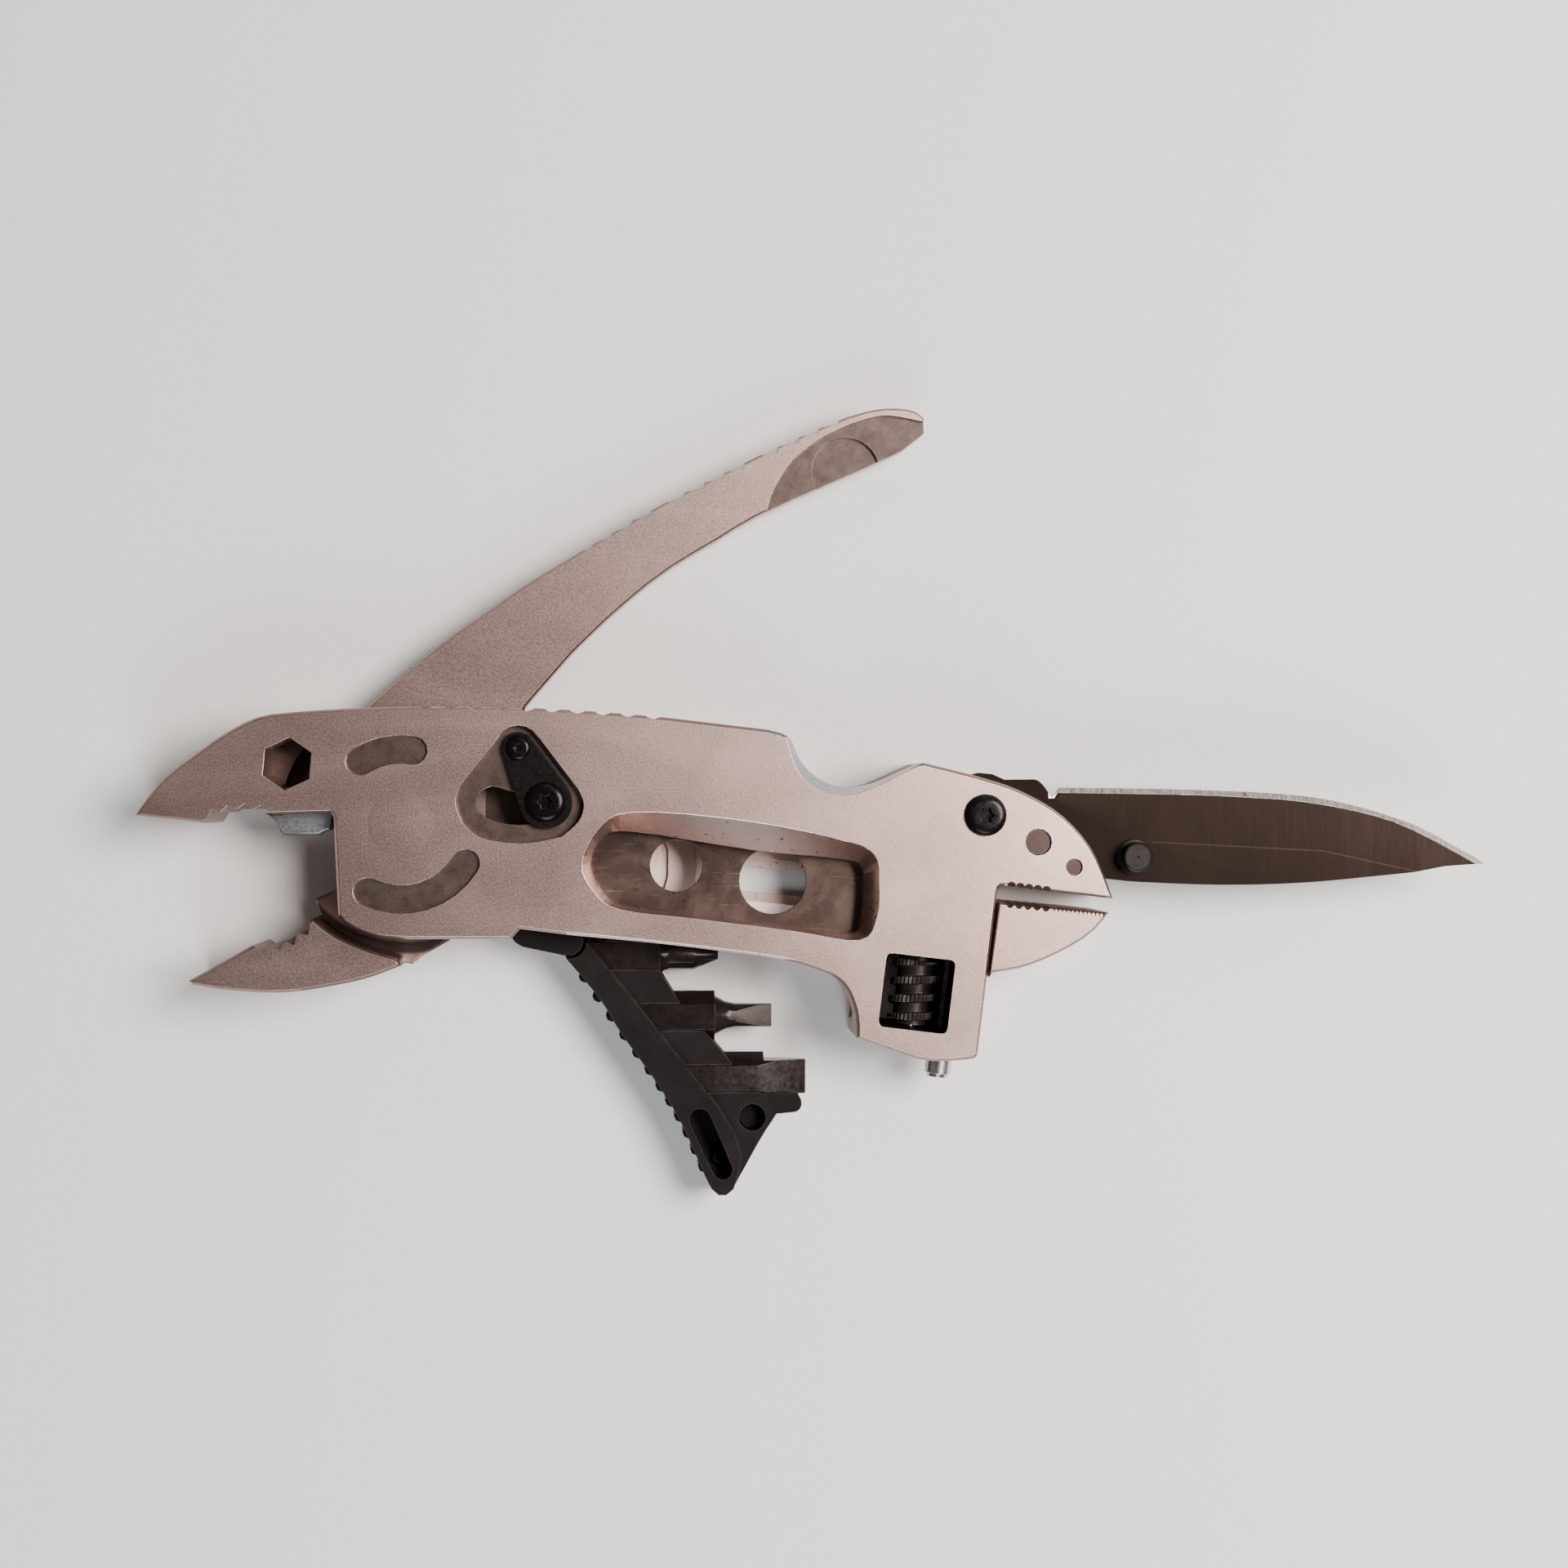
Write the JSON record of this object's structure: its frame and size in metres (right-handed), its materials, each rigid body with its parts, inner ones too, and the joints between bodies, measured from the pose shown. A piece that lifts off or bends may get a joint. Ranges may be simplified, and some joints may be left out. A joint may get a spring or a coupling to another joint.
{
  "type": "folding pocket multi tool",
  "caption": "Folding pocket multi tool: spring pliers, lock-back knife, adjustable wrench with worm, and a folding holder for screwdriver bits.",
  "frame": {"origin": "axis of the plier pivot where it meets the back face", "axes": "+X towards the wrench end along the tool, +Y towards the side that the handle opens to, +Z out of the back face towards the front face"},
  "size_m": [0.1957, 0.1153, 0.0176],
  "materials": {
    "cast_steel": "bead-blasted satin stainless steel",
    "bright_steel": "ground bright steel",
    "liner_steel": "scratched sheet steel",
    "black_steel": "black oxide, semi-gloss",
    "coated_steel": "dark satin coating with a bright ground edge",
    "black_plastic": "glass-filled nylon, matt"
  },
  "bodies": {
    "frame": {"front_half": "cast_steel", "back_half": "cast_steel", "nose_plug_large": "cast_steel", "nose_plug_small": "cast_steel", "case_screw_1": "black_steel", "case_screw_2": "black_steel", "case_screw_3": "black_steel", "plier_pivot_post": "cast_steel", "fixed_cutter": "bright_steel", "return_spring": "bright_steel", "lock_pivot_screw": "black_steel", "knife_pivot_nut": "cast_steel", "knife_pivot_screw": "black_steel", "knife_washer_front": "bright_steel", "knife_washer_back": "bright_steel", "liner_plate": "liner_steel", "liner_pin_1": "cast_steel", "liner_pin_2": "cast_steel", "holder_base": "black_plastic", "holder_pin": "bright_steel", "worm_axle": "bright_steel"},
    "lever": {"plier_lever": "cast_steel"},
    "lock_lever": {"lock_arm": "black_steel", "lock_knob_screw": "black_steel", "lock_pawl": "cast_steel"},
    "knife": {"knife_blade": "coated_steel", "thumb_stud": "black_steel"},
    "lock_bar": {"liner_lock_bar": "liner_steel"},
    "holder": {"bit_holder": "black_plastic", "holder_magnet": "bright_steel"},
    "bit_1": {"bit_cross": "black_steel"},
    "bit_2": {"bit_slot_small": "black_steel"},
    "bit_3": {"bit_slot_wide": "black_steel"},
    "jaw": {"wrench_jaw": "cast_steel", "rack_rod": "bright_steel"},
    "worm": {"worm": "black_steel"}
  },
  "joints": [
    {"name": "plier_hinge", "type": "hinge", "parent": "frame", "child": "lever", "pos_m": [0, 0, 0.006], "axis": [0, 0, 1], "range_deg": [-38.5, 0], "deforming": ["return_spring"]},
    {"name": "lock_hinge", "type": "hinge", "parent": "frame", "child": "lock_lever", "pos_m": [0.0166, 0.0108, 0.015], "axis": [0, 0, 1], "range_deg": [-52, 0]},
    {"name": "knife_hinge", "type": "hinge", "parent": "frame", "child": "knife", "pos_m": [0.0836, 0.0012, 0.0113], "axis": [0, 0, 1], "range_deg": [0, 178]},
    {"name": "lock_bar_flex", "type": "hinge", "parent": "frame", "child": "lock_bar", "pos_m": [0.034, 0.002, 0.00925], "axis": [0, 1, 0], "range_deg": [-3.4, 0]},
    {"name": "holder_hinge", "type": "hinge", "parent": "frame", "child": "holder", "pos_m": [0.0237, -0.0172, 0.0055], "axis": [0, 0, 1], "range_deg": [0, 46]},
    {"name": "bit_1_slide", "type": "slide", "parent": "holder", "child": "bit_1", "axis": [-1, 0, 0], "range_m": [-0.02, 0]},
    {"name": "bit_2_slide", "type": "slide", "parent": "holder", "child": "bit_2", "axis": [-1, 0, 0], "range_m": [-0.011, 0]},
    {"name": "bit_3_slide", "type": "slide", "parent": "holder", "child": "bit_3", "axis": [-1, 0, 0], "range_m": [-0.02, 0]},
    {"name": "wrench_slide", "type": "slide", "parent": "frame", "child": "jaw", "axis": [-0.1219, -0.9925, 0], "range_m": [-0.0018, 0.011]},
    {"name": "worm_spin", "type": "hinge", "parent": "frame", "child": "worm", "pos_m": [0.0741, -0.0249, 0.0082], "axis": [-0.1219, -0.9925, 0], "range_deg": [-1468, 241]}
  ],
  "couplings": [
    {"joint": "worm_spin", "follows": "wrench_slide", "rad_per_m": -2327.1}
  ]
}
